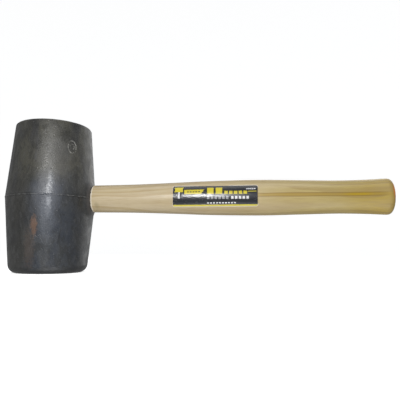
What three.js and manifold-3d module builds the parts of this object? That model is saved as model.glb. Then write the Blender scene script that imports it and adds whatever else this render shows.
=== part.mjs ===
// Rubber mallet: a moulded double-cone rubber head on a turned hardwood handle, which runs right through the
// head's eye and is spread at the far end by a wood wedge and two steel cross wedges. A printed film label is
// wrapped round the front of the handle. Millimetres, +Z up.
//
// Frame: the mallet stands on its lower striking face. The origin is the centre of that face, +Z runs up the
// head's axis and +X runs out along the handle.

import * as THREE from 'three';
import { mergeVertices } from 'three/addons/utils/BufferGeometryUtils.js';
import Module from 'manifold-3d';

const wasm = await Module();
wasm.setup();

// ---- driving dimensions ----

const GAP = 0.3;                    // left between pieces that touch

const HEAD_LENGTH = 139.4;          // from striking face to striking face
const HEAD_MID_RADIUS = 41;         // the widest place, at the mould line
const HEAD_FACE_RADIUS = 35;        // where the cone would meet the striking face
const UPPER_EDGE_ROUND = 3;
const LOWER_EDGE_ROUND = 6;         // the face that has been used most
const FLASH_HEIGHT = 0.4;           // the raised line that the mould's joint leaves
const FLASH_HALF_WIDTH = 0.7;
const HEAD_SEGMENTS = 72;
const ROUND_STEPS = 5;              // facets in the quarter round of an edge

const HANDLE_SEGMENTS = 40;
const HANDLE_STEPS = 30;            // rings along the turned length
const HANDLE_OVAL = 0.86;           // thickness front to back, as a share of the height
const BUTT_X = 316;
const BUTT_ROUND = 4;
const BUTT_DOME = 1.2;
const TENON_END_X = -40;            // about flush with the rubber
const TENON_END_CHAMFER = 0.8;
const TENON_HALF_HEIGHT = 12;
const SHOULDER_X = 42;              // just clear of the head
const SHOULDER_ROUND = 0.8;
const NECK_HALF_HEIGHT = 13;        // next to the shoulder
// The turned outline: distance from the head's axis, then half of the handle's height there.
const HANDLE_OUTLINE = [
  [SHOULDER_X + SHOULDER_ROUND, NECK_HALF_HEIGHT],
  [80, 13.4],
  [115, 14.5],
  [155, 16.0],
  [200, 16.6],                      // belly
  [235, 15.9],
  [268, 15.2],                      // waist of the grip
  [292, 15.6],
  [310, 16.4],                      // flare before the butt
];

const WOOD_WEDGE = { length: 30, back: 3.2, tip: 0.9, width: 23 };
const STEEL_WEDGE = { length: 16, back: 1.8, tip: 0.6, width: 14 };
const STEEL_WEDGE_OFFSET = 5.6;     // above and below the handle's axis

const LABEL_START_X = 119.7;
const LABEL_LENGTH = 77.6;
const LABEL_TOP = 10;               // above the handle's axis
const LABEL_BOTTOM = -9.3;
const LABEL_CORNER = 2;
const LABEL_LIFT = 0.1;             // the adhesive under the film
const LABEL_FILM = 0.2;

// ---- derived ----

const AXIS_Z = HEAD_LENGTH / 2;     // height of the handle's axis
const CLEAR_OF_HEAD = 2 * HEAD_MID_RADIUS;  // far enough out for a cut to run right through

// ---- materials ----

const rubber = new THREE.MeshStandardMaterial({ color: 0x3f403e, roughness: 0.7, metalness: 0 });
const ash = new THREE.MeshStandardMaterial({ color: 0xc6b184, roughness: 0.45, metalness: 0 });
const wedgeWood = new THREE.MeshStandardMaterial({ color: 0xa98a5c, roughness: 0.6, metalness: 0 });
const steel = new THREE.MeshStandardMaterial({ color: 0x8e9093, roughness: 0.4, metalness: 1 });
const film = new THREE.MeshStandardMaterial({ color: 0x26282a, roughness: 0.25, metalness: 0 });

// ---- geometry helpers ----

// A closed three.js geometry as a manifold solid, without the empty triangles at a lathe's poles.
function toSolid(geometry) {
  const bare = geometry.clone();
  bare.deleteAttribute('normal');
  bare.deleteAttribute('uv');
  const merged = mergeVertices(bare, 1e-4);
  const triVerts = [];
  const index = merged.index.array;
  for (let i = 0; i < index.length; i += 3) {
    const [a, b, c] = [index[i], index[i + 1], index[i + 2]];
    if (a !== b && b !== c && c !== a) triVerts.push(a, b, c);
  }
  return new wasm.Manifold(new wasm.Mesh({
    numProp: 3,
    vertProperties: new Float32Array(merged.attributes.position.array),
    triVerts: new Uint32Array(triVerts),
  }));
}

function toMesh(name, solid, material) {
  const { vertProperties, triVerts } = solid.getMesh();
  const geometry = new THREE.BufferGeometry();
  geometry.setAttribute('position', new THREE.BufferAttribute(vertProperties, 3));
  geometry.setIndex(new THREE.BufferAttribute(triVerts, 1));
  geometry.computeVertexNormals();
  const mesh = new THREE.Mesh(geometry, material);
  mesh.name = name;
  return mesh;
}

// Points along an arc of the given centre and radius; the angles are measured from the outward direction.
function arc(centreRadius, centreHeight, radius, fromAngle, toAngle, steps) {
  const points = [];
  for (let i = 0; i <= steps; i += 1) {
    const angle = THREE.MathUtils.lerp(fromAngle, toAngle, i / steps);
    points.push(new THREE.Vector2(
      centreRadius + radius * Math.cos(angle),
      centreHeight + radius * Math.sin(angle),
    ));
  }
  return points;
}

// A round solid along +X, squeezed to the handle's oval, on the handle's axis; a point is (half-height, x).
function ovalAlongX(points) {
  const geometry = new THREE.LatheGeometry(points, HANDLE_SEGMENTS);
  geometry.rotateZ(-Math.PI / 2);
  geometry.scale(1, HANDLE_OVAL, 1);
  geometry.translate(0, 0, AXIS_Z);
  return toSolid(geometry);
}

// A wedge with its thick end at x = 0 and its tip towards +X: thickness along Y, width along Z.
function wedgeGeometry({ length, back, tip, width }, clearance = 0) {
  const side = new THREE.Shape();
  side.moveTo(-clearance, -back / 2 - clearance);
  side.lineTo(length + clearance, -tip / 2 - clearance);
  side.lineTo(length + clearance, tip / 2 + clearance);
  side.lineTo(-clearance, back / 2 + clearance);
  side.closePath();
  const depth = width + 2 * clearance;
  const geometry = new THREE.ExtrudeGeometry(side, { depth, bevelEnabled: false });
  geometry.translate(0, 0, -depth / 2);
  return geometry;
}

// ---- the head ----

// Half of the head's outline, from a striking face to the mould line: (radius, distance from the face).
function headHalfOutline(edgeRound) {
  const slope = Math.atan2(HEAD_MID_RADIUS - HEAD_FACE_RADIUS, AXIS_Z);
  // The rounding touches both the face and the cone, so its centre lies on the bisector of that corner.
  const cornerAngle = Math.PI / 2 + slope;
  const setBack = edgeRound / Math.tan(cornerAngle / 2);
  const edge = arc(HEAD_FACE_RADIUS - setBack, edgeRound, edgeRound, -Math.PI / 2, -slope, ROUND_STEPS);
  const flashFoot = new THREE.Vector2(HEAD_MID_RADIUS, AXIS_Z - FLASH_HALF_WIDTH);
  return [new THREE.Vector2(0, 0), ...edge, flashFoot];
}

function headSolid() {
  const turnOver = (p) => new THREE.Vector2(p.x, HEAD_LENGTH - p.y);
  const lower = headHalfOutline(LOWER_EDGE_ROUND);
  const upper = headHalfOutline(UPPER_EDGE_ROUND).map(turnOver).reverse();
  const flashCrest = new THREE.Vector2(HEAD_MID_RADIUS + FLASH_HEIGHT, AXIS_Z);
  const body = new THREE.LatheGeometry([...lower, flashCrest, ...upper], HEAD_SEGMENTS);
  body.rotateX(Math.PI / 2);
  const eye = ovalAlongX([
    new THREE.Vector2(0, -CLEAR_OF_HEAD),
    new THREE.Vector2(TENON_HALF_HEIGHT + GAP, -CLEAR_OF_HEAD),
    new THREE.Vector2(TENON_HALF_HEIGHT + GAP, CLEAR_OF_HEAD),
    new THREE.Vector2(0, CLEAR_OF_HEAD),
  ]);
  return toSolid(body).subtract(eye);
}

// ---- the handle ----

// Rings of the turned length, from the shoulder to the flare, with the radius raised by an offset.
function turnedOutline(offset = 0) {
  const stations = HANDLE_OUTLINE.map(([x, halfHeight]) => new THREE.Vector2(halfHeight + offset, x));
  return new THREE.SplineCurve(stations).getSpacedPoints(HANDLE_STEPS);
}

// The butt's low dome, from its rim to its crown. It is a parabola, so it falls with the radius squared.
function buttDome(rim) {
  const shares = [1, 0.5, 0];
  return shares.map((share) => new THREE.Vector2(share * rim, BUTT_X + BUTT_DOME * (1 - share * share)));
}

function handleSolid() {
  const [neck, ...turned] = turnedOutline();
  const flare = turned.at(-1);
  const outline = [
    new THREE.Vector2(0, TENON_END_X),
    new THREE.Vector2(TENON_HALF_HEIGHT - TENON_END_CHAMFER, TENON_END_X),
    new THREE.Vector2(TENON_HALF_HEIGHT, TENON_END_X + TENON_END_CHAMFER),
    new THREE.Vector2(TENON_HALF_HEIGHT, SHOULDER_X),
    ...arc(neck.x - SHOULDER_ROUND, neck.y, SHOULDER_ROUND, -Math.PI / 2, 0, ROUND_STEPS),
    ...turned,
    ...arc(flare.x - BUTT_ROUND, BUTT_X - BUTT_ROUND, BUTT_ROUND, 0, Math.PI / 2, ROUND_STEPS),
    ...buttDome(flare.x - BUTT_ROUND).slice(1),
  ];
  return ovalAlongX(outline);
}

// ---- the wedges ----

// The kerf is sawn right across the tenon, so it is taller than the wedge that fills it.
function kerfSolid() {
  const kerf = wedgeGeometry({ ...WOOD_WEDGE, width: CLEAR_OF_HEAD }, GAP);
  return placeAtTenonEnd(kerf, 0);
}

function woodWedgeSolid() {
  return placeAtTenonEnd(wedgeGeometry(WOOD_WEDGE), 0);
}

// A steel wedge lies across the wood wedge, so it is turned a quarter turn about the handle's axis.
function steelWedgeSolid(side, clearance = 0) {
  const geometry = wedgeGeometry(STEEL_WEDGE, clearance);
  geometry.rotateX(Math.PI / 2);
  return placeAtTenonEnd(geometry, side * STEEL_WEDGE_OFFSET);
}

function placeAtTenonEnd(geometry, offset) {
  geometry.translate(TENON_END_X, 0, AXIS_Z + offset);
  return toSolid(geometry);
}

// ---- the label ----

function labelOutline() {
  const [left, right] = [LABEL_START_X, LABEL_START_X + LABEL_LENGTH];
  const [low, high] = [LABEL_BOTTOM, LABEL_TOP];
  const r = LABEL_CORNER;
  const outline = new THREE.Shape();
  outline.moveTo(left + r, low);
  outline.lineTo(right - r, low);
  outline.absarc(right - r, low + r, r, -Math.PI / 2, 0);
  outline.lineTo(right, high - r);
  outline.absarc(right - r, high - r, r, 0, Math.PI / 2);
  outline.lineTo(left + r, high);
  outline.absarc(left + r, high - r, r, Math.PI / 2, Math.PI);
  outline.lineTo(left, low + r);
  outline.absarc(left + r, low + r, r, Math.PI, 1.5 * Math.PI);
  return outline;
}

// The film is the part of a thin oval sleeve that lies behind the label's outline, on the front (-Y) side.
function labelSolid() {
  const sleeve = sleeveSolid(LABEL_LIFT + LABEL_FILM).subtract(sleeveSolid(LABEL_LIFT));
  const extrusion = { depth: CLEAR_OF_HEAD, bevelEnabled: false, curveSegments: ROUND_STEPS };
  const window = new THREE.ExtrudeGeometry(labelOutline(), extrusion);
  window.rotateX(Math.PI / 2);
  window.translate(0, 0, AXIS_Z);
  return sleeve.intersect(toSolid(window));
}

function sleeveSolid(offset) {
  const rings = turnedOutline(offset);
  return ovalAlongX([
    new THREE.Vector2(0, rings[0].y),
    ...rings,
    new THREE.Vector2(0, rings.at(-1).y),
  ]);
}

// ---- the mallet ----

const steelWedges = [['steel_wedge_upper', 1], ['steel_wedge_lower', -1]];
const steelSlots = steelWedges.map(([, side]) => steelWedgeSolid(side, GAP));
const cutSteelSlots = (solid) => steelSlots.reduce((rest, slot) => rest.subtract(slot), solid);

const mallet = new THREE.Group();
mallet.name = 'rubber_mallet';
mallet.add(toMesh('rubber_head', headSolid(), rubber));
mallet.add(toMesh('handle', cutSteelSlots(handleSolid().subtract(kerfSolid())), ash));
mallet.add(toMesh('wood_wedge', cutSteelSlots(woodWedgeSolid()), wedgeWood));
for (const [name, side] of steelWedges) {
  mallet.add(toMesh(name, steelWedgeSolid(side), steel));
}
mallet.add(toMesh('handle_label', labelSolid(), film));

export default mallet;
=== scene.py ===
"""Rubber mallet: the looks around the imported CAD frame. Metres, in the frame's own axes.

The head stands along Z on its lower striking face, the handle runs out along +X, and the label faces -Y.
"""

import math

import bmesh
import bpy
import numpy as np
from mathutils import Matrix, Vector, noise
from mathutils.geometry import delaunay_2d_cdt


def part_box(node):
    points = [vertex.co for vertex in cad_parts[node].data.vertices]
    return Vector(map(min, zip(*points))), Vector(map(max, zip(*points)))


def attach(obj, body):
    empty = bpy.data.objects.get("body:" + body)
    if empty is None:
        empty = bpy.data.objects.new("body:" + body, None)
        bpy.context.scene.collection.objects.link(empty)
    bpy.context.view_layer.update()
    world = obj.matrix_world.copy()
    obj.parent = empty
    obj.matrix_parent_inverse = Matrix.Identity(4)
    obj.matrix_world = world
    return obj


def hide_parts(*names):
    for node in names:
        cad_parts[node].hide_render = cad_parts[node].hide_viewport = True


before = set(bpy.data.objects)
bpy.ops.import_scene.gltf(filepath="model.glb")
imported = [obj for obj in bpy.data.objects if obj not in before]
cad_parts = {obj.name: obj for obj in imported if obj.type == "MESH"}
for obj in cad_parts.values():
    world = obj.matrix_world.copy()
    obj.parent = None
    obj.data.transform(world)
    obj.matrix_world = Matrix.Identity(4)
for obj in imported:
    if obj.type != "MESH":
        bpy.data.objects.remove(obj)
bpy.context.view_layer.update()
MM = 0.001
BODY = "root"
X, Y, Z = range(3)

# ---- sizes, read from the frame ----

HEAD_LOW, HEAD_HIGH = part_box("rubber_head")
HANDLE_LOW, HANDLE_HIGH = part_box("handle")
LABEL_LOW, LABEL_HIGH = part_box("handle_label")
AXIS_Z = (HEAD_LOW.z + HEAD_HIGH.z) / 2
HEAD_RADIUS = (HEAD_HIGH.y - HEAD_LOW.y) / 2
HANDLE_END = HANDLE_HIGH.x

# ---- sizes of the detail ----

HAIR = 0.01 * MM                # a step too small to see
CREASE = math.radians(35)       # edges sharper than this stay sharp
HEAD_SIDES = 360
HANDLE_SIDES = 128
RING_STEP = 1.1 * MM            # between rings along a turned or moulded piece
FEWEST_IN_RING = 30             # vertices that make a ring of a turned CAD mesh
RUBBER_GRIP = 0.12 * MM         # left between the rubber and the handle
EYE_LIP = 0.3 * MM              # rounding of the eye's mouth
FLASH_FOOT = 0.7 * MM           # half of the mould line's width
FLASH_LOSS = 0.55               # depth of its torn places, as a share of its height
MOULD_RELIEF = 0.10 * MM        # unevenness of the moulded surface
DENT_DEPTH = 0.5 * MM           # of knocks near the striking faces
TURNING_RELIEF = 0.12 * MM      # unevenness of the turned wood
FILM_RISE = 0.27 * MM           # the label's outer side above the wood
FILM_THICKNESS = 0.16 * MM
WEDGE_FIT = 0.08 * MM           # left round a wedge in its kerf
SWELL_REACH = 8 * MM            # of the rubber that bulges out to the handle's shoulder
SHOULDER_GAP = 0.2 * MM         # left between that rubber and the shoulder
UPPER_WEAR = 0.6                # rounding of the head's upper edge, as a share of the CAD's
LOWER_WEAR = 1.4                # and of its lower edge
MARK_AZIMUTH = math.radians(50)  # the mould's oval mark, to the right of the front
MARK_Z = AXIS_Z + 45.1 * MM
MARK_OVAL = 0.68                # its width as a share of its height
MARK_RINGS = [(5.7 * MM, 0.55 * MM), (2.6 * MM, 0.5 * MM)]  # half-height and wire of each ring

# ---- camera ----

CAMERA_PLACE = Vector((0.1783, -0.3788, 0.0217))
CAMERA_PITCH = math.radians(6.93)
CAMERA_YAW = math.radians(5.17)
CAMERA_ROLL = math.radians(-0.19)
CAMERA_LENS = 36.9              # in millimetres, like the sensor's width
CAMERA_SENSOR = 36.0


# ---- outlines measured on the CAD meshes ----

def rings(node, along, across):
    """(place, half-size) for each ring of vertices, from one end of the node to the other."""
    points = np.array([v.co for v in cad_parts[node].data.vertices])
    places = np.round(points[:, along], 5)
    found = []
    for place in np.unique(places):
        ring = points[places == place]
        if len(ring) >= FEWEST_IN_RING:
            found.append((float(place), float(across(ring).max())))
    return found


def from_head_axis(points):
    return np.hypot(points[:, X], points[:, Y])


def half_thickness(points):
    return np.abs(points[:, Y])


def half_height(points):
    return np.abs(points[:, Z] - AXIS_Z)


HEAD_RINGS = rings("rubber_head", Z, from_head_axis)
HANDLE_RINGS = rings("handle", X, half_thickness)


def cone_radius(z):
    """The head's radius at that height."""
    places, radii = zip(*HEAD_RINGS)
    return float(np.interp(z, places, radii))


MARK_OUT = cone_radius(MARK_Z)
MARK_PLACE = Vector((MARK_OUT * math.sin(MARK_AZIMUTH), -MARK_OUT * math.cos(MARK_AZIMUTH), MARK_Z))
HANDLE_OVAL = max(r for _, r in HANDLE_RINGS) / max(r for _, r in rings("handle", X, half_height))


def through(points, step):
    """A smooth line through the points (Catmull-Rom), with a point at least every step."""
    line = []
    padded = [points[0], *points, points[-1]]
    for a, b, c, d in zip(padded, padded[1:], padded[2:], padded[3:]):
        a, b, c, d = (np.array(p) for p in (a, b, c, d))
        count = max(1, math.ceil(np.linalg.norm(c - b) / step))
        for t in np.arange(count) / count:
            line.append(0.5 * (2 * b + (c - a) * t + (2 * a - 5 * b + 4 * c - d) * t**2
                               + (3 * b - a - 3 * c + d) * t**3))
    return [tuple(p) for p in [*line, np.array(points[-1])]]


IN_HEAD = [(x, r / HANDLE_OVAL) for x, r in HANDLE_RINGS if x < HEAD_RADIUS]
GRIP = [(x, r / HANDLE_OVAL) for x, r in HANDLE_RINGS if x > HEAD_RADIUS]
TENON_HALF_HEIGHT = max(r for _, r in IN_HEAD)
# The rings well inside the tenon belong to the wedges' slots, so only the ones near its skin count.
TENON = [(x, r) for x, r in IN_HEAD if r > 0.9 * TENON_HALF_HEIGHT]
SHOULDER_X = GRIP[0][0]
NECK_HALF_HEIGHT = float(np.interp(SHOULDER_X + 2 * MM, *np.array(GRIP).T))
SWELL_X = SHOULDER_X - SHOULDER_GAP
HANDLE_LINE = [*TENON[:-1],
               *through([TENON[-1], (SHOULDER_X - HAIR, TENON_HALF_HEIGHT)], RING_STEP),
               *through(GRIP, RING_STEP)]
HANDLE_PLACES, HANDLE_HEIGHTS = np.array(HANDLE_LINE).T


def handle_half_height(x):
    return float(np.interp(x, HANDLE_PLACES, HANDLE_HEIGHTS))


def on_handle(x, z, rise):
    """The point of the handle's front side at that place, lifted off the wood."""
    half = handle_half_height(x)
    slope = (handle_half_height(x + MM) - handle_half_height(x - MM)) / (2 * MM)
    share = (z - AXIS_Z) / half
    out = math.sqrt(max(0.0, 1 - share**2))
    surface = Vector((x, -HANDLE_OVAL * half * out, z))
    normal = Vector((-slope, -out / HANDLE_OVAL, share)).normalized()
    return surface + rise * normal


# ---- mesh helpers ----

def piece_from(name, mesh_code):
    """A new object whose mesh is built by mesh_code(bm)."""
    bm = bmesh.new()
    mesh_code(bm)
    bmesh.ops.recalc_face_normals(bm, faces=bm.faces)
    mesh = bpy.data.meshes.new(name)
    bm.to_mesh(mesh)
    bm.free()
    piece = bpy.data.objects.new(name, mesh)
    bpy.context.scene.collection.objects.link(piece)
    return piece


def full_turn(sides):
    """Evenly spaced angles all the way round."""
    return np.linspace(0, 2 * math.pi, sides, endpoint=False)


def bridge(bm, loops):
    """Joins each closed loop of points to the next one."""
    for loop, following in zip(loops, loops[1:]):
        for a, b, c, d in zip(loop, loop[1:] + loop[:1], following[1:] + following[:1], following):
            bm.faces.new((a, b, c, d))


def turned(name, outline, sides, point_at):
    """A closed solid of rings. The outline is (place, radius) from pole to pole, both with radius 0."""
    def build(bm):
        loops = [[bm.verts.new(point_at(place, radius, angle)) for angle in full_turn(sides)]
                 for place, radius in outline[1:-1]]
        bridge(bm, loops)
        for (place, _), loop in ((outline[0], loops[0]), (outline[-1], loops[-1])):
            pole = bm.verts.new(point_at(place, 0.0, 0.0))
            for i in range(sides):
                bm.faces.new((loop[i], loop[(i + 1) % sides], pole))
    return piece_from(name, build)


def settle(piece):
    """Applies the piece's modifiers to its mesh."""
    graph = bpy.context.evaluated_depsgraph_get()
    mesh = bpy.data.meshes.new_from_object(piece.evaluated_get(graph))
    piece.modifiers.clear()
    piece.data = mesh


def combine(piece, tool, operation):
    """Joins or cuts the piece with the tool, which is used up."""
    boolean = piece.modifiers.new(operation, "BOOLEAN")
    boolean.operation = operation
    boolean.solver = "EXACT"
    boolean.object = tool
    settle(piece)
    bpy.data.objects.remove(tool)


def paint_piece(piece, materials):
    """Puts the materials on the piece, unless it has them already."""
    if not piece.data.materials:
        for material in materials:
            piece.data.materials.append(material)


def finish_piece(piece, materials, slot, *nodes):
    """Shading, materials and the piece's place in the frame."""
    paint_piece(piece, materials)
    piece.data.polygons.foreach_set("use_smooth", [True] * len(piece.data.polygons))
    piece.data.set_sharp_from_angle(angle=CREASE)
    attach(piece, BODY)
    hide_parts(*nodes)


# ---- materials ----

class Paint:
    """A procedural material on one Principled shader. Places are in the object's own metres."""

    def __init__(self, name, **sockets):
        self.material = bpy.data.materials.new(name)
        self.material.use_nodes = True
        self.tree = self.material.node_tree
        self.shader = self.tree.nodes["Principled BSDF"]
        self.place = self.tree.nodes.new("ShaderNodeTexCoord").outputs["Object"]
        for socket, value in sockets.items():
            self.feed(self.shader.inputs[socket.replace("_", " ")], value)

    def feed(self, socket, value):
        if isinstance(value, bpy.types.NodeSocket):
            self.tree.links.new(value, socket)
        else:
            socket.default_value = value

    def node(self, kind, inputs, output, **settings):
        node = self.tree.nodes.new("ShaderNode" + kind)
        for name, value in settings.items():
            setattr(node, name, value)
        for key, value in inputs.items():
            self.feed(node.inputs[key], value)
        return node.outputs[output]

    def set(self, socket, value):
        self.feed(self.shader.inputs[socket], value)

    def moved(self, centre=(0, 0, 0), scale=(1, 1, 1)):
        """Places measured from a centre, then scaled along each axis."""
        shifted = self.node("VectorMath", {0: self.place, 1: centre}, 0, operation="SUBTRACT")
        return self.node("VectorMath", {0: shifted, 1: scale}, 0, operation="MULTIPLY")

    def axis(self, name):
        return self.node("SeparateXYZ", {0: self.place}, name)

    def noise(self, size, stretch=(1, 1, 1), detail=3.0, distortion=0.0, seed=0.0):
        """Cloudy noise around 0.5, with features of that size, drawn out along each axis by stretch."""
        scale = [1 / (size * s) for s in stretch]
        return self.node("TexNoise", {"Vector": self.moved(scale=scale), "Scale": 1.0, "Detail": detail,
                                      "Distortion": distortion, "W": seed}, 0, noise_dimensions="4D")

    def calc(self, operation, a, b=0.0, c=0.0):
        return self.node("Math", {0: a, 1: b, 2: c}, 0, operation=operation)

    def step(self, value, low, high, start=0.0, end=1.0):
        """start below low, end above high, with a smooth change between them."""
        return self.node("MapRange", {"Value": value, "From Min": low, "From Max": high,
                                      "To Min": start, "To Max": end}, 0, interpolation_type="SMOOTHSTEP")

    def spot(self, centre, size, strength, ragged=0.35, grain=3 * MM):
        """strength at the centre of an ellipsoid, falling to 0 at its ragged edge."""
        inside = self.moved(centre, [1 / s for s in size])
        distance = self.node("VectorMath", {0: inside}, 1, operation="LENGTH")
        rough = self.calc("MULTIPLY_ADD", self.noise(grain), ragged, distance)
        return self.step(rough, 0.35 + ragged / 2, 1.0 + ragged / 2, strength, 0.0)

    def hoop(self, centre, radius, oval, width, strength):
        """strength along an upright oval round the centre on a nearly flat place, broken up in parts."""
        round_it = (1 / oval, 1 / oval, 1)
        distance = self.node("VectorMath", {0: self.moved(centre, round_it)}, 1, operation="LENGTH")
        off = self.calc("ABSOLUTE", self.calc("SUBTRACT", distance, radius))
        worn = self.step(self.noise(3 * MM, seed=13.0), 0.38, 0.52)
        return self.calc("MULTIPLY", self.step(off, 0.3 * width, width, strength, 0.0), worn)

    def mix(self, share, a, b):
        """a where the share is 0 and b where it is 1, by the Mix node's numbered colour sockets."""
        return self.node("Mix", {0: share, 6: a, 7: b}, 2, data_type="RGBA")

    def bump(self, height, distance, strength):
        self.set("Normal", self.node("Bump", {"Height": height, "Distance": distance,
                                              "Strength": strength}, 0))


def colour(red, green, blue):
    return (red, green, blue, 1.0)


HEAD_FRONT = -0.95 * HEAD_RADIUS  # just inside the head's front

# Patches on the rubber: (x, depth, z), half-sizes, strength and colour. x is from the head's axis and z above
# the mould line, in millimetres like the half-sizes, and the depth is a share of HEAD_FRONT.
# Painted light on the rubber: a broad painted highlight, painted bluish reflections and painted shade on the
# upper left.
PAINTED_LIGHT_WASHES = [
    ((18, 0.9, 35), (21, 30, 34), 0.42, (0.105, 0.103, 0.095)),      # painted broad highlight on the upper cone
    ((13, 1.0, 1), (16, 30, 27), 0.40, (0.085, 0.094, 0.115)),       # painted bluish reflection round the mould line
    ((13, 1.0, -22), (9, 30, 30), 0.30, (0.075, 0.088, 0.115)),      # painted bluish reflection on down the lower cone
    ((-29, 0.6, 38), (17, 25, 42), 0.45, (0.011, 0.011, 0.011)),     # painted shade on the upper left
]
MARKS_AND_GLINTS = [
    # The first three marks are painted highlights: glints round the mould line and a tail below them.
    ((15.5, 1.0, 10), (3.4, 12, 13), 0.45, (0.13, 0.14, 0.16)),      # painted glint above the mould line
    ((15, 1.0, -6.5), (2.7, 12, 7), 0.8, (0.19, 0.20, 0.22)),        # painted glint below it
    ((14.5, 1.0, -14), (3.4, 12, 10), 0.35, (0.13, 0.14, 0.16)),
    ((3, 1.0, -27.5), (3.8, 12, 12), 0.37, (0.22, 0.11, 0.055)),     # orange stain
    ((-1, 1.0, -47), (7, 16, 26), 0.5, (0.062, 0.047, 0.037)),       # brown stain below it
    ((24, 0.8, 56), (6, 12, 11), 0.6, (0.012, 0.012, 0.010)),        # dark smear by the oval mark
    ((14.5, 1.0, 14.3), (5.5, 12, 0.6), 0.4, (0.20, 0.20, 0.20)),    # short scratch
]


def patches(paint, base, listed, **edge):
    """The colour with each listed patch of the rubber laid over it."""
    for (x, depth, z), size, strength, tint in listed:
        centre = Vector((x * MM, depth * HEAD_FRONT, AXIS_Z + z * MM))
        patch = paint.spot(centre, [half * MM for half in size], strength, **edge)
        base = paint.mix(patch, base, colour(*tint))
    return base


def rubber_tones(paint, across, height):
    """Grey bloom, with a painted bluish reflection on the lower front and painted warm light above the mould
    line.
    """
    bloom = paint.step(paint.noise(11 * MM, (1, 1, 1.5), detail=5), 0.38, 0.66)
    base = paint.mix(bloom, colour(0.020, 0.020, 0.020), colour(0.035, 0.035, 0.035))
    # Painted reflection: a bluish tint on the lower front of the head.
    left = paint.step(across, -10 * MM, 4 * MM)
    right = paint.step(across, 24 * MM, 38 * MM, 1.0, 0.35)
    low = paint.step(height, AXIS_Z + 8 * MM, AXIS_Z + 34 * MM, 0.75, 0.0)
    bluish_reflection = paint.calc("MULTIPLY", low, paint.calc("MULTIPLY", left, right))
    base = paint.mix(bluish_reflection, base, colour(0.022, 0.028, 0.040))
    # Painted light: warmer, lighter rubber above the mould line, in patches.
    patchy = paint.step(paint.noise(13 * MM, (1, 1, 2), detail=5, seed=11.0), 0.34, 0.58)
    warm_painted_light = paint.calc("MULTIPLY", paint.step(height, AXIS_Z, AXIS_Z + 26 * MM, 0.25, 0.85), patchy)
    return paint.mix(warm_painted_light, base, colour(0.047, 0.045, 0.034))


def rubber_scuffs(paint, base):
    """Dark smears, pale rubbed places and fine pale specks."""
    smear = paint.step(paint.noise(6 * MM, (1, 1, 2.0), detail=6, distortion=1.6, seed=4.0), 0.49, 0.56)
    base = paint.mix(paint.calc("MULTIPLY", smear, 0.42), base, colour(0.014, 0.014, 0.013))
    rubbed = paint.step(paint.noise(3.2 * MM, (1, 1, 2.4), detail=6, distortion=1.0, seed=7.0), 0.57, 0.64)
    base = paint.mix(paint.calc("MULTIPLY", rubbed, 0.28), base, colour(0.062, 0.064, 0.066))
    speck = paint.step(paint.noise(0.9 * MM, detail=2), 0.60, 0.72)
    return paint.mix(paint.calc("MULTIPLY", speck, 0.3), base, colour(0.10, 0.10, 0.095))


def mould_line_tones(paint, base, from_line):
    """A pale crest, partly painted highlight and partly rubbed wear, broken up in places, with painted shade
    at its foot on both sides.
    """
    # Painted highlight and rubbed wear: the ridge's crest paler, broken up by noise.
    crest = paint.step(from_line, 0.15 * MM, 0.9 * MM, 1.0, 0.0)
    rub = paint.step(paint.noise(2.5 * MM, detail=3, seed=9.0), 0.42, 0.6)
    base = paint.mix(paint.calc("MULTIPLY", crest, rub), base, colour(0.08, 0.08, 0.078))
    # Painted shade: a dark line in the crease at the ridge's foot, on both sides.
    foot = paint.calc("MULTIPLY", paint.step(from_line, 0.3 * MM, 0.8 * MM),
                      paint.step(from_line, 0.9 * MM, 1.6 * MM, 1.0, 0.0))
    return paint.mix(paint.calc("MULTIPLY", foot, 0.7), base, colour(0.008, 0.008, 0.008))


def rubber_edges(paint, base, across, height, from_line):
    """Painted light where the rubber bulges to the shoulder, painted shade along the lower edge, and dust on
    the striking faces.
    """
    # Painted light: paler rubber on the bulge round the eye, lifting its shade.
    swell_painted_light = paint.step(across, SWELL_X - 3 * MM, SWELL_X - 1 * MM, 0.0, 0.8)
    base = paint.mix(swell_painted_light, base, colour(0.055, 0.050, 0.047))
    # Painted shade: darker rubber along the bottom, by the floor.
    painted_shade_under = paint.step(height, 2 * MM, 8 * MM, 0.65, 0.0)
    base = paint.mix(painted_shade_under, base, colour(0.012, 0.012, 0.012))
    face = paint.step(from_line, AXIS_Z - 1.2 * MM, AXIS_Z - 0.2 * MM)
    dust = paint.calc("MULTIPLY", face, paint.step(paint.noise(4 * MM, detail=6), 0.42, 0.66))
    return paint.mix(paint.calc("MULTIPLY", dust, 0.5), base, colour(0.105, 0.10, 0.09))


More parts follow.
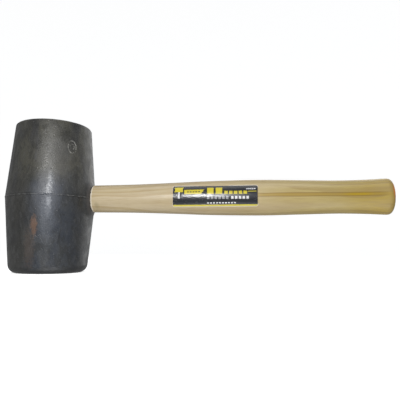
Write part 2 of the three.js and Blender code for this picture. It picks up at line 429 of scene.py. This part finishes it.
def rubber_material():
    """Filled black rubber: mottled, scuffed, stained and dusty on its faces, with painted light: warmer and
    lighter above, painted bluish reflections below, painted highlights and painted shade.
    """
    paint = Paint("black_rubber", Specular_IOR_Level=0.5)
    across = paint.axis("X")
    height = paint.axis("Z")
    from_line = paint.calc("ABSOLUTE", paint.calc("SUBTRACT", height, AXIS_Z))

    base = rubber_tones(paint, across, height)
    base = rubber_scuffs(paint, base)
    base = mould_line_tones(paint, base, from_line)
    base = patches(paint, base, PAINTED_LIGHT_WASHES)
    base = patches(paint, base, MARKS_AND_GLINTS, ragged=1.4, grain=1.7 * MM)
    # Painted highlight: each raised ring of the oval mark is painted paler.
    for radius, wire in MARK_RINGS:
        ring = paint.hoop(MARK_PLACE, radius, MARK_OVAL, 1.9 * wire, 0.9)
        base = paint.mix(ring, base, colour(0.17, 0.168, 0.155))
    paint.set("Base Color", rubber_edges(paint, base, across, height, from_line))

    shine = paint.noise(6 * MM, (1, 1, 1.6), detail=5)
    paint.set("Roughness", paint.step(shine, 0.35, 0.65, 0.33, 0.52))
    pits = paint.step(paint.noise(1.8 * MM, detail=1, seed=2.0), 0.26, 0.38)
    peel = paint.calc("MULTIPLY_ADD", paint.noise(1.6 * MM, detail=4, seed=6.0), 1.6, pits)
    skin = paint.calc("MULTIPLY_ADD", paint.noise(0.45 * MM, detail=2), 0.25, peel)
    paint.bump(skin, 0.12 * MM, 0.65)
    return paint.material


def wood_grain(paint, heart, ring_width, seed=0.0):
    """Growth rings round a heart line along X: 0 in the pale early wood, 1 in the dark late wood."""
    sway = paint.noise(16 * MM, (9, 1, 1), detail=2, seed=seed)
    across = paint.moved(heart, (0, 1, 1))
    distance = paint.node("VectorMath", {0: across}, 1, operation="LENGTH")
    bent = paint.calc("MULTIPLY_ADD", sway, 9 * MM, distance)
    turn = paint.calc("FRACT", paint.calc("DIVIDE", bent, ring_width))
    return paint.calc("MULTIPLY", paint.step(turn, 0.25, 0.9), paint.step(turn, 0.93, 1.0, 1.0, 0.0))


def golden_streak(paint, base):
    """A long streak of heartwood along the front of the grip, with a dark line on each side."""
    middle, half_width = AXIS_Z + 1.9 * MM, 1.4 * MM
    label_end, butt = LABEL_HIGH.x, HANDLE_END
    along = paint.axis("X")
    wander = paint.noise(12 * MM, (6, 1, 1), detail=2, seed=8.0)
    sway = paint.calc("MULTIPLY_ADD", wander, 2 * MM, paint.axis("Z"))
    off = paint.calc("ABSOLUTE", paint.calc("SUBTRACT", sway, middle))

    length = paint.calc("MULTIPLY", paint.step(along, label_end - 12.3 * MM, label_end + 5.7 * MM),
                        paint.step(along, butt - 17.2 * MM, butt - 4.2 * MM, 1.0, 0.0))
    front = paint.step(paint.axis("Y"), -10 * MM, -4 * MM, 1.0, 0.0)
    shown = paint.calc("MULTIPLY", length, front)
    gold = paint.calc("MULTIPLY", paint.step(along, butt - 52.2 * MM, butt - 35.2 * MM),
                      paint.step(along, butt - 29.2 * MM, butt - 17.2 * MM, 1.0, 0.3))
    tint = paint.mix(gold, colour(0.335, 0.225, 0.045), colour(0.38, 0.245, 0.006))
    band = paint.step(off, half_width, half_width + 0.5 * MM, 0.95, 0.0)
    base = paint.mix(paint.calc("MULTIPLY", band, shown), base, tint)

    from_side = paint.calc("ABSOLUTE", paint.calc("SUBTRACT", off, half_width))
    line = paint.step(from_side, 0.1 * MM, 0.6 * MM, 0.75, 0.0)
    return paint.mix(paint.calc("MULTIPLY", line, shown), base, colour(0.19, 0.12, 0.03))


def wood_wear_and_painted_light(paint, base, along):
    """A darker olive patch by the neck, a worn butt with an orange edge, a pale shoulder rim of bare wood
    with a painted highlight, painted shade on the tenon between the rubber and the shoulder, and a grimy
    tenon end.
    """
    front = -13 * MM
    # A darker olive patch below the neck.
    olive_patch_centre = Vector((SHOULDER_X + 6 * MM, front, AXIS_Z - 8.5 * MM))
    olive_patch = paint.spot(olive_patch_centre, (4 * MM, 9 * MM, 6 * MM), 0.5)
    base = paint.mix(olive_patch, base, colour(0.19, 0.16, 0.075))
    base = golden_streak(paint, base)
    worn = paint.step(along, HANDLE_END - 8 * MM, HANDLE_END - 2 * MM, 0.0, 0.55)
    base = paint.mix(worn, base, colour(0.22, 0.135, 0.022))
    rim_centre = Vector((HANDLE_END - 1.9 * MM, front, AXIS_Z + 4 * MM))
    rim = paint.spot(rim_centre, (2.5 * MM, 12 * MM, 10 * MM), 0.85)
    base = paint.mix(rim, base, colour(0.60, 0.19, 0.015))

    near_side = paint.step(along, 0.0, 0.3 * SHOULDER_X)
    # Bare wood and painted highlight: a pale rim on the shoulder's rounded edge.
    bare_rim_and_highlight = paint.step(along, SHOULDER_X + 0.9 * MM, SHOULDER_X + 1.8 * MM, 0.75, 0.0)
    base = paint.mix(paint.calc("MULTIPLY", bare_rim_and_highlight, near_side), base, colour(0.62, 0.57, 0.48))
    # Painted shade: dark on the tenon in the gap between the rubber and the shoulder.
    tenon_gap_shade = paint.step(along, SHOULDER_X - 0.2 * MM, SHOULDER_X, 1.0, 0.0)
    base = paint.mix(paint.calc("MULTIPLY", tenon_gap_shade, near_side), base, colour(0.030, 0.024, 0.022))
    grime = paint.calc("MULTIPLY", paint.step(along, HANDLE_LOW.x, HANDLE_LOW.x + 1.5 * MM, 0.75, 0.0),
                       paint.step(paint.noise(2.5 * MM, detail=5, seed=12.0), 0.3, 0.7))
    return paint.mix(grime, base, colour(0.13, 0.085, 0.04))


def handle_material():
    """Lacquered ash: pale near the head, golden towards the butt, with growth rings and long fibres."""
    paint = Paint("lacquered_ash", Specular_IOR_Level=0.5, Coat_Weight=0.25, Coat_Roughness=0.22)
    along = paint.axis("X")
    pale = colour(0.425, 0.347, 0.222)
    honey = colour(0.405, 0.312, 0.108)
    butt = colour(0.41, 0.285, 0.045)
    base = paint.mix(paint.step(along, 0.378 * HANDLE_END, 0.851 * HANDLE_END), pale, honey)
    base = paint.mix(paint.step(along, 0.804 * HANDLE_END, 0.993 * HANDLE_END), base, butt)

    late = wood_grain(paint, (0, 34 * MM, AXIS_Z + 12 * MM), 3.1 * MM)
    base = paint.mix(paint.calc("MULTIPLY", late, 0.5), base, colour(0.27, 0.185, 0.065))
    fibre = paint.step(paint.noise(0.55 * MM, (26, 1, 1), detail=3), 0.42, 0.68)
    base = paint.mix(paint.calc("MULTIPLY", fibre, 0.3), base, colour(0.25, 0.17, 0.06))
    cloud = paint.step(paint.noise(9 * MM, (4, 1, 1), detail=2, seed=3.0), 0.35, 0.7)
    base = paint.mix(paint.calc("MULTIPLY", cloud, 0.25), base, colour(0.48, 0.39, 0.21))

    paint.set("Base Color", wood_wear_and_painted_light(paint, base, along))
    paint.set("Roughness", paint.step(paint.noise(3 * MM, (6, 1, 1), detail=3), 0.3, 0.7, 0.34, 0.5))
    grooves = paint.calc("MULTIPLY_ADD", late, 0.5, paint.noise(0.35 * MM, (40, 1, 1), detail=2))
    paint.bump(grooves, 0.05 * MM, 0.5)
    return paint.material


def wedge_wood_material():
    """A darker hardwood wedge, with its grain along X and a bruised end."""
    paint = Paint("wedge_wood", Specular_IOR_Level=0.3)
    late = wood_grain(paint, (0, -20 * MM, AXIS_Z - 30 * MM), 1.3 * MM, seed=5.0)
    base = paint.mix(late, colour(0.30, 0.18, 0.08), colour(0.16, 0.085, 0.035))
    bruise = paint.step(paint.axis("X"), HANDLE_LOW.x, HANDLE_LOW.x + 1.5 * MM, 0.5, 0.0)
    base = paint.mix(bruise, base, colour(0.09, 0.055, 0.03))
    paint.set("Base Color", base)
    paint.set("Roughness", paint.step(paint.noise(1 * MM), 0.3, 0.7, 0.6, 0.8))
    paint.bump(paint.noise(0.3 * MM, (12, 1, 1)), 0.06 * MM, 0.7)
    return paint.material


def steel_material():
    """Hammered mild steel with brown rust in its low places."""
    paint = Paint("wedge_steel", Metallic=1.0)
    rust = paint.step(paint.noise(1.6 * MM, detail=5), 0.46, 0.62)
    base = paint.mix(rust, colour(0.42, 0.42, 0.43), colour(0.13, 0.075, 0.045))
    paint.set("Base Color", base)
    paint.set("Roughness", paint.calc("MULTIPLY_ADD", rust, 0.35, 0.32))
    paint.bump(paint.noise(0.9 * MM, detail=4), 0.1 * MM, 0.7)
    return paint.material


def printed_film(name, ink, worn, roughness):
    """Gloss film or ink: the colour wears thin in small scuffs, and the surface is a little uneven."""
    paint = Paint(name, Specular_IOR_Level=0.5)
    scuff = paint.step(paint.noise(1.2 * MM, (3, 1, 1), detail=5), 0.58, 0.74)
    paint.set("Base Color", paint.mix(paint.calc("MULTIPLY", scuff, 0.45), ink, worn))
    paint.set("Roughness", paint.calc("MULTIPLY_ADD", scuff, 0.2, roughness))
    paint.bump(paint.noise(2.2 * MM, (2, 1, 1), detail=4), 0.2 * MM, 0.7)
    return paint.material


# ---- the head ----

def head_half(face, joint, foot, wear):
    """Outline from a striking face's centre to the mould line: flat face, rounded edge, cone.

    The CAD's rounded edge runs from face to joint, and its cone from joint to foot, each a (z, radius).
    """
    (face_z, face_radius), (joint_z, joint_radius), (foot_z, foot_radius) = face, joint, foot
    slope = math.atan2(foot_radius - joint_radius, abs(foot_z - joint_z))
    up = 1 if foot_z > face_z else -1
    edge = wear * (joint_radius - face_radius) / math.cos(slope)
    corner = foot_radius - abs(foot_z - face_z) * math.tan(slope)
    flat_radius = corner - edge / math.tan((math.pi / 2 + slope) / 2)

    steps = 14
    flat = [(face_z, share * flat_radius) for share in np.linspace(0, 1, steps)[:-1]]
    rounding = [(face_z + up * edge * (1 + math.sin(turn)), flat_radius + edge * math.cos(turn))
                for turn in np.linspace(-math.pi / 2, -slope, steps)]
    start_z, start_radius = rounding[-1]
    rise, spread = foot_z - start_z, foot_radius - start_radius
    count = math.ceil(abs(rise) / RING_STEP)
    cone = [(start_z + rise * i / count, start_radius + spread * i / count) for i in range(1, count + 1)]
    return [*flat, *rounding, *cone]


def head_outline():
    """Both halves of the head, with the mould line's ridge between them."""
    crest_z, crest_radius = max(HEAD_RINGS, key=lambda ring: ring[1])
    lower = [ring for ring in HEAD_RINGS if ring[0] < crest_z]
    upper = [ring for ring in HEAD_RINGS if ring[0] > crest_z]
    foot_radius = lower[-1][1]
    rise = crest_radius - foot_radius
    ridge = [(-0.7, 0.12), (-0.4, 0.55), (-0.15, 1.0), (0.15, 1.0), (0.4, 0.55), (0.7, 0.12)]
    flash = [(crest_z + place * FLASH_FOOT, foot_radius + share * rise) for place, share in ridge]
    below = head_half(lower[0], lower[-2], lower[-1], LOWER_WEAR)
    above = head_half(upper[-1], upper[1], upper[0], UPPER_WEAR)
    return [*below, *flash, *reversed(above)]


def head_point(z, radius, angle):
    """A point of the moulded surface: the mould line is ragged, and use has dented the rubber a little."""
    around = Vector((math.cos(angle), math.sin(angle), 0))
    point = radius * around + Vector((0, 0, z))
    from_line = abs(z - AXIS_Z)
    if from_line < FLASH_FOOT:
        torn = 0.5 + 0.5 * noise.noise(around * 6) + 0.35 * noise.noise(around * 25)
        radius -= max(0.0, torn) * FLASH_LOSS * (radius - cone_radius(AXIS_Z - FLASH_FOOT))
    soft = 0.5 + 0.5 * noise.noise(point * 45)
    dents = max(0.0, noise.noise(point * 130) - 0.25)
    near_face = min(1.0, max(0.0, from_line / AXIS_Z - 0.55) * 3)
    inward = MOULD_RELIEF * soft + DENT_DEPTH * dents * near_face
    share = max(0.0, 1 - inward / max(radius, MM))
    on_face = from_line > AXIS_Z - 0.1 * MM
    lift = inward * math.copysign(1.0, AXIS_Z - z) if on_face else 0.0
    x, y = radius * share * around.x, radius * share * around.y
    return Vector((swollen(x, y, z), y, z + lift))


def swollen(x, y, z):
    """The place along X once the driven handle has made the rubber round the eye's near mouth bulge."""
    beyond = math.hypot(y / HANDLE_OVAL, z - AXIS_Z) - NECK_HALF_HEIGHT
    share = min(1.0, max(0.0, 1 - beyond / SWELL_REACH))
    return x + share**2 * max(0.0, SWELL_X - x) if x > 0 else x


def oval_point(x, radius, angle):
    """A point of an oval round the handle's axis, in the handle's proportions."""
    return Vector((x, HANDLE_OVAL * radius * math.cos(angle), AXIS_Z + radius * math.sin(angle)))


def eye_tool():
    """The oval eye, with a mouth that rolls open where it meets the curved side of the head."""
    # (depth outside the head's surface, widening of the eye), both as multiples of EYE_LIP
    roll = [(-3.0, 0.0), (-1.0, 0.0), (-0.6, 0.08), (-0.3, 0.29), (0.0, 0.8), (0.3, 1.4), (2.0, 1.6)]
    half = TENON_HALF_HEIGHT + RUBBER_GRIP
    sides = 120

    def ring(end, depth, flare):
        """Points round the eye at that depth outside the head's surface, or flat and well clear of it."""
        grown = 1 + flare * EYE_LIP / half
        for angle in full_turn(sides):
            tall = half * math.sin(angle)
            wide = HANDLE_OVAL * half * math.cos(angle)
            surface = math.sqrt(cone_radius(AXIS_Z + tall) ** 2 - wide**2)
            surface = max(surface, SWELL_X) if end > 0 else surface
            x = 1.5 * HEAD_RADIUS if depth is None else surface + depth * EYE_LIP
            yield end * x, wide * grown, AXIS_Z + tall * grown

    def build(bm):
        stations = [*roll, (None, roll[-1][1])]
        far_side = [ring(-1, *station) for station in reversed(stations)]
        near_side = [ring(1, *station) for station in stations]
        loops = [[bm.verts.new(point) for point in points] for points in far_side + near_side]
        bridge(bm, loops)
        bm.faces.new(loops[0])
        bm.faces.new(loops[-1])
    return piece_from("eye_tool", build)


def mark_ring_tool(radius, wire):
    """A raised ring that the mould leaves on the upper cone, to the right of the front."""
    sides, wire_sides = 72, 10
    sunk = 0.3 * wire

    def on_cone(across, up, rise):
        out = cone_radius(MARK_Z + up) + rise
        angle = MARK_AZIMUTH + across / out
        return Vector((out * math.sin(angle), -out * math.cos(angle), MARK_Z + up))

    def build(bm):
        loops = []
        for turn in full_turn(sides):
            loop = []
            for wire_turn in full_turn(wire_sides):
                reach = radius + wire * math.cos(wire_turn)
                across = MARK_OVAL * reach * math.cos(turn)
                rise = wire * math.sin(wire_turn) - sunk
                loop.append(bm.verts.new(on_cone(across, reach * math.sin(turn), rise)))
            loops.append(loop)
        bridge(bm, [*loops, loops[0]])
    return piece_from("mark_ring_tool", build)


def build_head():
    head = turned("rubber_head_moulding", head_outline(), HEAD_SIDES, head_point)
    combine(head, eye_tool(), "DIFFERENCE")
    for radius, wire in MARK_RINGS:
        combine(head, mark_ring_tool(radius, wire), "UNION")
    finish_piece(head, [rubber_material()], "black_rubber", "rubber_head")


# ---- the handle ----

STEEL_NODES = ("steel_wedge_upper", "steel_wedge_lower")


def handle_point(x, radius, angle):
    """A point of the turned surface, which is never quite true."""
    point = oval_point(x, radius, angle)
    hollow = TURNING_RELIEF * (0.5 + 0.5 * noise.noise(Vector((point.x * 30, point.y * 60, point.z * 60))))
    share = 1 - hollow / max(radius, MM)
    return Vector((x, point.y * share, AXIS_Z + (point.z - AXIS_Z) * share))


def wedge(name, node, thick_axis, tip_share, grow, stretch=1.0):
    """A wedge in the CAD wedge's box, which thins from the driven end to its tip towards +X.

    grow is added on every side, and stretch makes it taller.
    """
    low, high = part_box(node)
    middle = (low + high) / 2
    size = (high - low) + Vector((2 * grow,) * 3)

    def build(bm):
        bmesh.ops.create_cube(bm, size=1.0)
        bmesh.ops.subdivide_edges(bm, edges=bm.edges, cuts=9, use_grid_fill=True)
        for vert in bm.verts:
            from_back = vert.co.x + 0.5
            vert.co[thick_axis] *= 1 - (1 - tip_share) * from_back
            vert.co.z *= stretch
            vert.co = middle + Vector(a * b for a, b in zip(vert.co, size))
    return piece_from(name, build)


def batter(piece, depth):
    """Hammer marks on the driven end and softened edges."""
    back = min(v.co.x for v in piece.data.vertices)
    for vert in piece.data.vertices:
        if vert.co.x < back + HAIR:
            vert.co.x += depth * (0.5 + 0.5 * noise.noise(vert.co * 900))
    bevel = piece.modifiers.new("soft edges", "BEVEL")
    bevel.width = 0.25 * MM
    bevel.segments = 2
    bevel.limit_method = "ANGLE"
    settle(piece)


def wood_wedge(name, grow=0.0, stretch=1.0):
    return wedge(name, "wood_wedge", Y, 0.3, grow, stretch)


def steel_wedge(name, node, grow=0.0):
    return wedge(name, node, Z, 1 / 3, grow)


def cut_slots(piece):
    """The slots of both steel wedges."""
    for node in STEEL_NODES:
        combine(piece, steel_wedge("slot_tool", node, WEDGE_FIT), "DIFFERENCE")


def build_handle():
    stick = turned("turned_handle", [(HANDLE_LOW.x, 0.0), *HANDLE_LINE], HANDLE_SIDES, handle_point)
    combine(stick, wood_wedge("kerf_tool", WEDGE_FIT, stretch=3), "DIFFERENCE")
    cut_slots(stick)
    finish_piece(stick, [handle_material()], "lacquered_ash", "handle")


def build_wedges():
    wood = wood_wedge("kerf_wedge")
    batter(wood, 0.3 * MM)
    cut_slots(wood)
    finish_piece(wood, [wedge_wood_material()], "wedge_wood", "wood_wedge")
    steel = steel_material()
    for node in STEEL_NODES:
        piece = steel_wedge(node + "_driven", node)
        batter(piece, 0.2 * MM)
        finish_piece(piece, [steel], "wedge_steel", node)


# ---- the label ----

BLACK, YELLOW, WHITE, GREY, CLEAR = range(5)
EDGE, FIELD = 0, 1              # the film's own edge and the black field come first among the outlines


def bar(left, right, low, high):
    return [(left, low), (right, low), (right, high), (left, high)]


def dashes(left, right, low, high, width, gap):
    """A row of plain bars that fills the space from left to right."""
    count = round((right - left + gap) / (width + gap))
    pitch = (right - left + gap) / count
    return [bar(left + i * pitch, left + (i + 1) * pitch - gap, low, high) for i in range(count)]


def label_print():
    """(colour, outline) of each mark on the black field, in millimetres.

    They are measured from the label's left end and above the handle's axis.
    """
    stick = [(5.5, -1.8), (6.9, -1.8), (6.9, 3.9), (5.5, 3.9)]
    pictogram = [(1.9, 3.9), (10.1, 3.9), (9.5, 6.1), (10.1, 8.3), (1.9, 8.3), (2.5, 6.1)]
    banner = [(11.0, 2.0), (26.2, 2.0), (29.0, 6.1), (11.0, 6.1)]
    return [
        (YELLOW, pictogram),
        (WHITE, stick),
        (YELLOW, banner),
        *[(BLACK, mark) for mark in dashes(13.6, 25.2, 3.6, 4.6, 1.3, 1.1)],
        *[(YELLOW, mark) for mark in dashes(31.8, 45.4, 1.8, 7.7, 5.9, 1.8)],
        *[(YELLOW, mark) for mark in dashes(47.2, 67.6, 1.7, 4.6, 3.2, 1.1)],
        *[(WHITE, mark) for mark in dashes(67.0, 75.0, 5.9, 7.0, 1.1, 0.5)],
        (YELLOW, bar(68.6, 75.9, 3.8, 4.4)),
        *[(GREY, mark) for mark in dashes(31.8, 51.0, -2.6, -0.1, 2.2, 1.2)],
        *[(WHITE, mark) for mark in dashes(53.4, 69.2, -2.6, -0.1, 2.2, 1.2)],
        *[(WHITE, mark) for mark in dashes(31.8, 57.6, -6.5, -5.4, 1.7, 1.0)],
    ]


def rounded_rectangle(width, low, high, corner, inset=0.0):
    """The label's outline, drawn in from its edge by inset."""
    radius = corner - inset
    left, right, bottom, top = corner, width - corner, low + corner, high - corner
    outline = []
    for x, z, start in ((right, bottom, -90), (right, top, 0), (left, top, 90), (left, bottom, 180)):
        for turn in np.radians(np.linspace(start, start + 90, 7)):
            outline.append((x + radius * math.cos(turn), z + radius * math.sin(turn)))
    return outline


def label_shapes(width, low, high):
    """(colour, outline) of everything on the film, from its edge upwards."""
    corner, border, stripe_top = 2.0, 0.5, low + 1.9
    edge = rounded_rectangle(width, low, high, corner)
    field = rounded_rectangle(width, low, high, corner, border)
    stripe = bar(border, width - border, low + border, stripe_top)
    return [(CLEAR, edge), (BLACK, field), (YELLOW, stripe), *label_print()]


def label_inks():
    return [
        printed_film("label_black", colour(0.012, 0.013, 0.017), colour(0.05, 0.05, 0.05), 0.26),
        printed_film("label_yellow", colour(0.50, 0.42, 0.022), colour(0.27, 0.22, 0.05), 0.3),
        printed_film("label_white", colour(0.60, 0.60, 0.61), colour(0.28, 0.28, 0.28), 0.3),
        printed_film("label_grey", colour(0.26, 0.26, 0.27), colour(0.14, 0.14, 0.14), 0.28),
        printed_film("label_clear_edge", colour(0.52, 0.47, 0.38), colour(0.42, 0.36, 0.27), 0.2),
    ]


def build_label():
    """The film follows the wood, and each ink has its own faces, cut out along the outlines of the print."""
    width = (LABEL_HIGH.x - LABEL_LOW.x) / MM
    low = (LABEL_LOW.z - AXIS_Z) / MM
    high = (LABEL_HIGH.z - AXIS_Z) / MM
    shapes = label_shapes(width, low, high)

    spacing, from_low_edge, from_high_edge = 0.9, 0.5, 0.3
    points = [Vector((x, z)) for x in np.arange(from_low_edge, width - from_high_edge, spacing)
              for z in np.arange(low + from_low_edge, high - from_high_edge, spacing)]
    faces = []
    for _, outline in shapes:
        faces.append(list(range(len(points), len(points) + len(outline))))
        points += [Vector(p) for p in outline]
    inside_only, tolerance = 1, 1e-5
    flat, _, triangles, _, _, origins = delaunay_2d_cdt(points, [], faces, inside_only, tolerance, True)

    def build(bm):
        verts = [bm.verts.new(on_handle(LABEL_LOW.x + p.x * MM, AXIS_Z + p.y * MM, FILM_RISE)) for p in flat]
        for triangle, origin in zip(triangles, origins):
            if EDGE in origin:
                face = bm.faces.new([verts[i] for i in triangle])
                face.material_index = shapes[max(origin)][0] if FIELD in origin else CLEAR
    label = piece_from("handle_label_film", build)

    inks = label_inks()
    paint_piece(label, inks)
    if sum(p.normal.y * p.area for p in label.data.polygons) > 0:
        label.data.flip_normals()
    solid = label.modifiers.new("film", "SOLIDIFY")
    solid.thickness = FILM_THICKNESS
    solid.offset = -1.0
    settle(label)
    finish_piece(label, inks, "printed_film", "handle_label")


# ---- the studio ----

def build_backdrop():
    """Pale paper: a round floor that curves up into a dome. It lights nothing but itself."""
    radius, bend = 2.4, 0.8
    turns = np.linspace(0, math.pi / 2, 24)
    profile = [(share * (radius - bend), 0.0) for share in (0.1, 0.3, 0.6, 1.0)]
    profile += [(radius - bend + bend * math.sin(t), bend * (1 - math.cos(t))) for t in turns[1:]]
    profile += [(radius * math.cos(t), bend + radius * math.sin(t)) for t in turns[1:-1]]
    sides = 96

    def build(bm):
        loops = [[bm.verts.new((out * math.cos(turn), out * math.sin(turn), z)) for turn in full_turn(sides)]
                 for out, z in profile]
        bridge(bm, loops)
        bm.faces.new(loops[0])
        bm.faces.new(loops[-1])
    floor = piece_from("floor_and_backdrop", build)
    floor.data.polygons.foreach_set("use_smooth", [True] * len(floor.data.polygons))
    floor.location.z = HEAD_LOW.z
    floor.visible_diffuse = False
    floor.visible_glossy = False
    floor.visible_shadow = False
    paper = Paint("white_paper", Roughness=0.9, Specular_IOR_Level=0.1, Emission_Strength=0.66)
    paper.set("Base Color", paper.mix(paper.noise(20 * MM, detail=3), colour(0.84, 0.84, 0.84),
                                      colour(0.88, 0.88, 0.88)))
    paper.set("Emission Color", colour(1.0, 1.0, 1.0))
    floor.data.materials.append(paper.material)


def soft_light(name, place, target, size, power):
    """A round lamp: its place, what it is aimed at, its diameter and its watts."""
    light = bpy.data.lights.new(name, "AREA")
    light.shape = "DISK"
    light.size = size
    light.energy = power
    lamp = bpy.data.objects.new(name, light)
    lamp.location = place
    lamp.rotation_euler = (Vector(target) - Vector(place)).to_track_quat("-Z", "Y").to_euler()
    lamp.visible_camera = False
    bpy.context.scene.collection.objects.link(lamp)


def build_studio():
    build_backdrop()
    scene = bpy.context.scene
    scene.view_settings.view_transform = "Standard"
    world = bpy.data.worlds.new("studio")
    world.use_nodes = True
    background = world.node_tree.nodes["Background"]
    background.inputs["Color"].default_value = colour(0.97, 0.985, 1.0)
    background.inputs["Strength"].default_value = 0.36
    scene.world = world
    middle = (0.5 * HANDLE_END, 0.0, AXIS_Z)
    soft_light("key", (0.09, -0.40, 0.15), (0.07, 0.0, AXIS_Z), 0.06, 1.2)
    soft_light("back_right", (0.50, 0.70, 0.35), (0.0, 0.0, AXIS_Z), 1.1, 3.4)
    soft_light("overhead", (0.17, -0.35, 1.2), middle, 0.9, 4.4)
    soft_light("floor_bounce", (0.20, -0.35, -0.45), middle, 0.6, 1.8)


def build_camera():
    camera = bpy.data.cameras.new("camera")
    camera.lens = CAMERA_LENS
    camera.sensor_width = CAMERA_SENSOR
    camera.clip_start = 0.01
    holder = bpy.data.objects.new("camera", camera)
    holder.location = CAMERA_PLACE
    holder.rotation_euler = (math.pi / 2 + CAMERA_PITCH, CAMERA_ROLL, CAMERA_YAW)
    bpy.context.scene.collection.objects.link(holder)
    bpy.context.scene.camera = holder


build_camera()
build_studio()
build_head()
build_handle()
build_wedges()
build_label()
